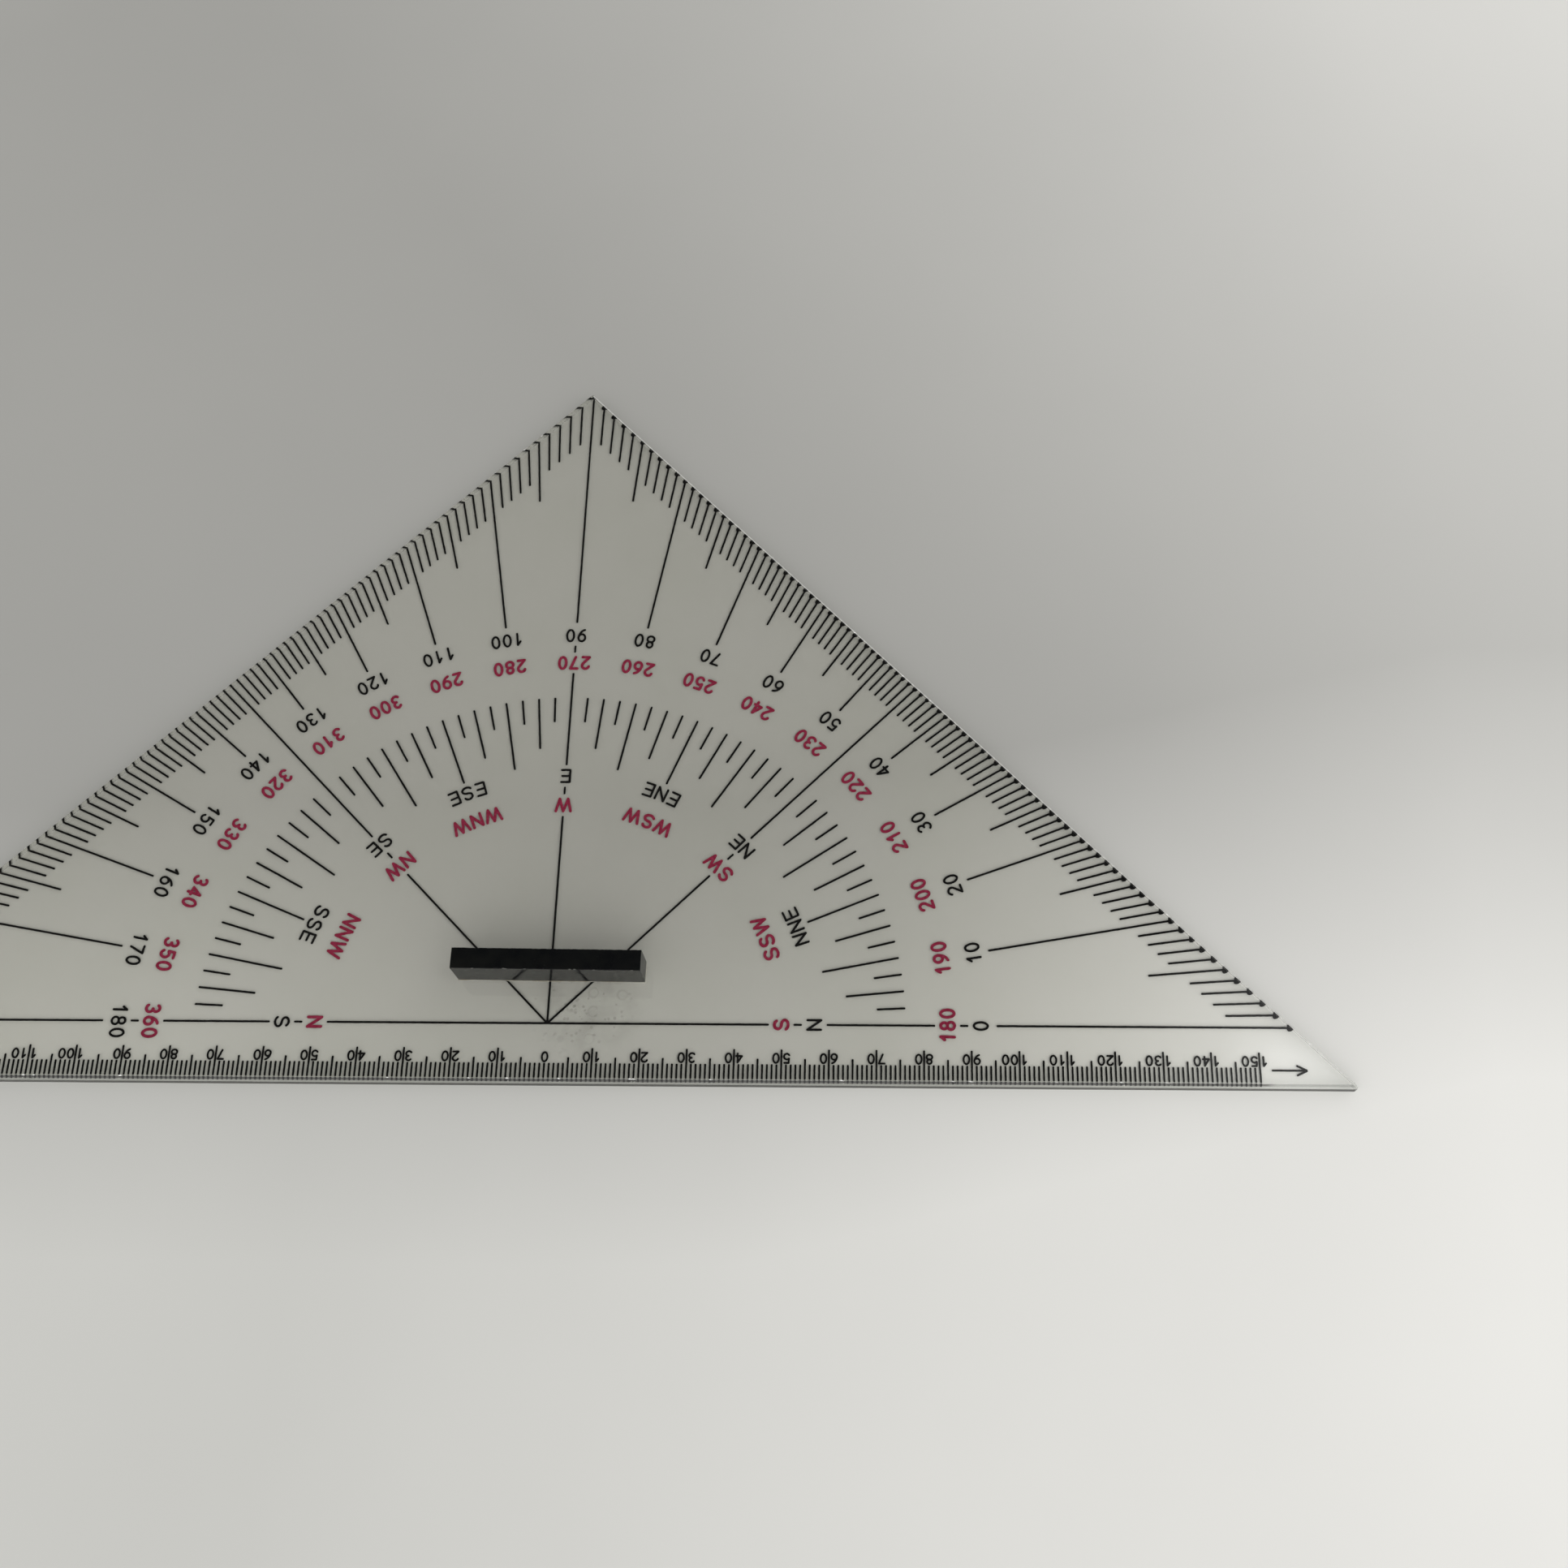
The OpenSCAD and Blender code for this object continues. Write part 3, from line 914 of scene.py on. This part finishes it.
def plate_corners(insets):
    """Left, right and upper corner of the plate, with each of its edges moved in."""
    reaches = [reach - inset for reach, inset in zip(EDGE_REACHES, insets)]
    corners = []
    for i in range(3):
        a, b = OUTWARDS[i - 1], OUTWARDS[i]
        p, q = reaches[i - 1], reaches[i]
        corners.append(Vector((p * b.y - q * a.y, q * a.x - p * b.x)) / (a.x * b.y - a.y * b.x))
    return corners


def edge_stops():
    """Places along each edge of the plate, as shares of its length, with the chip's depth there."""
    corners = plate_corners((0, 0, 0))
    result = []
    for i, chips in enumerate(CHIPS_PER_EDGE):
        length = (corners[(i + 1) % 3] - corners[i]).length
        count = round(length / EDGE_STEP)
        stops = [(k / count, 0) for k in range(1, count)]
        for _ in range(chips):
            place, size = chance.uniform(*CHIP_RANGE), chance.uniform(*CHIP_SIZE)
            stops += [
                (place - size / length, 0),
                (place, CHIP_DEPTH_SHARE * size),
                (place + CHIP_FAR_SIDE * size / length, 0),
            ]
        result.append(sorted(stops))
    return result


def corner_tangent(i):
    """Distance from the plate's corner of this number to where its rounding ends."""
    return CORNER_ROUND * tan(OUTWARDS[i - 1].angle(OUTWARDS[i % 3]) / 2)


def plate_ring(levels, stops):
    """Points round the plate: place, outward direction, height and chip depth.

    levels are the ring's height and inset at the ruling edge, the right leg and the left leg.
    """
    corners = plate_corners([inset for _, inset in levels])
    points = []
    for i, corner in enumerate(corners):
        before, after = OUTWARDS[i - 1], OUTWARDS[i]
        step = corners[(i + 1) % 3] - corner
        along = step.normalized()
        start = corner + along * corner_tangent(i)
        centre = start - after * CORNER_ROUND
        for share in CORNER_SHARES:
            out = before.lerp(after, share).normalized()
            height = levels[i - 1][0] * (1 - share) + levels[i][0] * share
            points.append((centre + out * CORNER_ROUND, out, height, 0))
        length = step.length - corner_tangent(i) - corner_tangent((i + 1) % 3)
        for share, chip in stops[i]:
            points.append((start + along * (length * share), after, levels[i][0], chip))
    return points


def plate_profile():
    """The plate's levels from its foot up: at each of its edges, a height and an inset."""
    bevel_arris = UPPER_ARRISES[RULING_EDGE] / 2
    leg_arrises = UPPER_ARRISES[RIGHT_LEG:]
    bevel_side = (PLATE_TOP - bevel_arris, RULING_BEVEL - bevel_arris)
    bevel_end = (PLATE_TOP, RULING_BEVEL + bevel_arris)
    return (
        [(0, arris) for arris in LOWER_ARRISES],
        [(arris, 0) for arris in LOWER_ARRISES],
        [(PLATE_TOP - RULING_BEVEL, 0)] * 3,
        [bevel_side] + [(PLATE_TOP - arris, 0) for arris in leg_arrises],
        [bevel_end] + [(PLATE_TOP, arris) for arris in leg_arrises],
    )


def finish_plate_rim(bands, points):
    """Gives each face of the plate's rim the number of its material."""
    for band in bands:
        for f in band:
            f.material_index = PLATE_CUT
    _, upright, bevel, upper = bands
    for i, (_, out, _, chip) in enumerate(points):
        _, next_out, _, next_chip = points[(i + 1) % len(points)]
        if out == OUTWARDS[RIGHT_LEG] and next_out == OUTWARDS[RIGHT_LEG]:
            upper[i].material_index = PLATE_SCRAPED
        if chip or next_chip:
            upper[i].material_index = PLATE_CHIPPED
        if out == OUTWARDS[RULING_EDGE] and next_out == OUTWARDS[RULING_EDGE]:
            bevel[i].material_index = PLATE_BEVEL
            upright[i].material_index = PLATE_LAND


def clear_plate(materials):
    """The acrylic plate, with a bevelled ruling edge and a few chips along its upper corners."""
    bm = bmesh.new()
    stops = edge_stops()
    rings = []
    for level, edges in enumerate(plate_profile()):
        points = plate_ring(edges, stops)
        vertices = []
        for place, out, height, chip in points:
            inset = EDGE_WAVE * (1 + noise.noise(Vector((place.x, place.y, 0)) * EDGE_WAVE_GRAIN))
            if level == LOWERED_LEVEL:
                height -= chip
            if level == MOVED_IN_LEVEL:
                inset += chip
            x, y = place - out * inset
            vertices.append(bm.verts.new((x, y, height)))
        rings.append(vertices)
    finish_plate_rim(skin(bm, rings), points)
    bm.faces.new(rings[0])
    bm.faces.new(rings[-1])
    part_of(new_piece("clear_plate", bm, materials), "clear_acrylic", "plate")


def bar_frame():
    """The bar's middle, its directions along and across, length, width, and foot and head heights."""
    points = [v.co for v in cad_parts["grip_bar"].data.vertices]
    foot, head = min(p.z for p in points), max(p.z for p in points)
    corners = [Vector((p.x, p.y)) for p in points if p.z < foot + SAME_HEIGHT]
    middle_x = (max(p.x for p in corners) + min(p.x for p in corners)) / 2
    right = [p for p in corners if p.x > middle_x]
    right_end = max(right, key=lambda p: p.y) - min(right, key=lambda p: p.y)
    along = Vector((right_end.y, -right_end.x)).normalized()
    across = Vector((-along.y, along.x))
    far, near = max(p @ along for p in corners), min(p @ along for p in corners)
    back, front = max(p @ across for p in corners), min(p @ across for p in corners)
    middle = along * (far + near) / 2 + across * (back + front) / 2
    return middle, along, across, far - near, back - front, foot, head


def bar_section(half_width, height, arris):
    """Outline across the bar, from its foot up and over: places across and up."""
    cut = BAR_ARRIS_ROUND * arris
    right = [
        (half_width, 0), (half_width, height - arris),
        (half_width - cut, height - cut), (half_width - arris, height),
    ]
    left = [(-side, up) for side, up in reversed(right)]
    return left[-1:] + right + left[:-1]


def black_bar(materials):
    """The grip bar, with ragged and chipped upper corners."""
    middle, along, across, length, width, foot, head = bar_frame()
    bm = bmesh.new()
    rings = []
    count = round(length / BAR_STEP)
    for i in range(count + 1):
        place = length * (i / count - 0.5)
        rag = abs(noise.noise(Vector((place * BAR_ARRIS_GRAIN, BAR_ARRIS_LAYER, 0))))
        section = bar_section(width / 2, head - foot, BAR_ARRIS + BAR_ARRIS_WAVE * rag)
        vertices = []
        for side, up in section:
            x, y = middle + along * place + across * side
            vertices.append(bm.verts.new((x, y, foot + up)))
        rings.append(vertices)
    for band in skin(bm, rings):
        for k, share in BAR_CHIP_SHARES.items():
            if chance.random() < share:
                band[k].material_index = BAR_CHIPPED
    for end in (rings[0], rings[-1]):
        bm.faces.new(end).material_index = BAR_CUT
    part_of(new_piece("black_grip_bar", bm, materials), "black_acrylic", "grip_bar")


def bead_points(length, width):
    """Points round the bar's foot: places along and across it, and how far out the bead goes there."""
    corners = [(-1, -1), (1, -1), (1, 1), (-1, 1)]
    points = []
    for (aa, ab), (ba, bb) in zip(corners, corners[1:] + corners[:1]):
        ax, ay, bx, by = aa * length / 2, ab * width / 2, ba * length / 2, bb * width / 2
        steps = max(2, round(hypot(bx - ax, by - ay) / CEMENT_STEP))
        points.append((ax, ay, aa * CEMENT_CORNER_REACH, ab * CEMENT_CORNER_REACH))
        for share in (i / steps for i in range(1, steps)):
            x, y = ax + (bx - ax) * share, ay + (by - ay) * share
            points.append((x, y, (aa + ba) / 2, (ab + bb) / 2))
    return points


def cement_bead(material):
    """The cement under the bar, squeezed out round its foot as an uneven bead."""
    middle, along, across, length, width, foot, _ = bar_frame()
    low = PLATE_TOP + CEMENT_GAP
    bm = bmesh.new()
    rings = [[] for _ in range(len(CEMENT_SECTION) + 2)]
    for x, y, out_along, out_across in bead_points(length, width):
        out = along * out_along + across * out_across
        wave = noise.noise(Vector((x, y, CEMENT_SWELL_LAYER)) * CEMENT_SWELL_GRAIN)
        swell = CEMENT_SWELL + CEMENT_SWELL_WAVE * wave
        reach, rise = CEMENT_WIDTH * swell, CEMENT_HEIGHT * swell * swell
        levels = [(low + up * rise, share * reach) for up, share in CEMENT_SECTION]
        levels += [(low + rise, CEMENT_OVERLAP), (foot - CEMENT_GAP, CEMENT_OVERLAP)]
        place = middle + along * x + across * y
        for vertices, (height, offset) in zip(rings, levels):
            px, py = place + out * offset
            vertices.append(bm.verts.new((px, py, height)))
    skin(bm, rings)
    bm.faces.new(rings[0])
    bm.faces.new(rings[-1])
    piece = new_piece("cement_bead", bm, [material])
    for polygon in piece.data.polygons:
        polygon.use_smooth = len(polygon.vertices) == 4
    part_of(piece, "clear_cement", "bar_cement")


def around(tree, way, middle, degrees):
    """From 0 to 1 towards a middle way, between two angles from it."""
    limits = [cos(radians(a)) for a in degrees]
    return spread(tree, vector_maths(tree, "DOT_PRODUCT", way, middle), *limits)


def sky():
    """The light, and what shows behind the floor."""
    world = bpy.data.worlds.new("sky")
    world.use_nodes = True
    tree = world.node_tree
    way = add_node(tree, "TexCoord").outputs["Generated"]
    path = add_node(tree, "LightPath").outputs
    bright = spread(tree, vector_maths(tree, "DOT_PRODUCT", way, SKY_BRIGHT_WAY), *SKY_BRIGHT_COSINES)
    colour = mixed_colour(tree, bright, SKY_COLOUR, SKY_BRIGHT_COLOUR)
    dark = around(tree, way, SKY_DARK_WAY, SKY_DARK_DEGREES)
    colour = mixed_colour(tree, dark, colour, SKY_DARK_COLOUR)
    window = product(tree, around(tree, way, WINDOW_WAY, WINDOW_DEGREES), path["Is Glossy Ray"])
    colour = mixed_colour(tree, window, colour, WINDOW_COLOUR)
    seen = maths(tree, "MAXIMUM", path["Is Camera Ray"], path["Is Transmission Ray"])
    colour = mixed_colour(tree, seen, colour, BACKDROP_COLOUR)
    tree.links.new(colour, tree.nodes["Background"].inputs["Color"])
    return world


def camera():
    data = bpy.data.cameras.new("camera")
    data.lens = CAMERA_FOCAL_LENGTH
    data.shift_x, data.shift_y = (-offset / PHOTO_PIXELS for offset in CAMERA_AXIS_OFFSET)
    data.clip_start = CAMERA_CLIP_START
    made = bpy.data.objects.new("camera", data)
    bpy.context.scene.collection.objects.link(made)
    made.location = CAMERA_PLACE
    made.rotation_euler = [radians(a) for a in CAMERA_TURN_DEGREES]
    bpy.context.scene.camera = made


def surroundings():
    """The sky, and the floor with its front face up."""
    scene = bpy.context.scene
    scene.view_settings.view_transform = "Standard"
    scene.world = sky()
    bm = bmesh.new()
    bmesh.ops.create_grid(
        bm, x_segments=FLOOR_SEGMENTS, y_segments=FLOOR_SEGMENTS, size=FLOOR_HALF_SIZE
    )
    bmesh.ops.translate(bm, verts=bm.verts, vec=(0, 0, -FLOOR_GAP))
    floor = new_piece("floor", bm, [floor_paper()])
    if floor.data.polygons[0].normal.z < 0:
        floor.data.flip_normals()


PRINTED_NODES = (
    "ruler_millimetre_ticks", "ruler_five_millimetre_ticks", "ruler_ten_millimetre_ticks",
    "ruler_arrows", "degree_ticks", "five_degree_ticks", "ten_degree_lines",
    "compass_short_ticks", "compass_medium_ticks", "compass_long_ticks", "bearing_lines",
)
# Number of the compass point opposite the first
OPPOSITE_FIRST = len(COMPASS_POINTS) // 2

camera()
surroundings()
black_ink = printed_ink("black_print", BLACK_FULL, BLACK_THIN)
red_ink = printed_ink("red_print", RED_FULL, RED_THIN)
for node_name in PRINTED_NODES:
    printed_lines(node_name, black_ink)
ruler_numbers(black_ink)
degree_numbers("degree_numbers", "black_print", black_ink, DEGREE_RADIUS, 0, BLACK_STROKE)
degree_numbers(
    "reciprocal_numbers", "red_print", red_ink, RECIPROCAL_RADIUS, RECIPROCAL_FIRST, RED_STROKE
)
compass_letters("compass_letters", "black_print", black_ink, COMPASS_RADIUS, 0, BLACK_STROKE)
compass_letters("opposite_letters", "red_print", red_ink, OPPOSITE_RADIUS, OPPOSITE_FIRST, RED_STROKE)
edge_ink(black_ink)
clear_plate([
    acrylic_face(), acrylic_edge(), acrylic_chip(), acrylic_bevel(), acrylic_land(), acrylic_scraped(),
])
black_bar([bar_face(), bar_cut(), bar_chip()])
cement_bead(cement_clear())
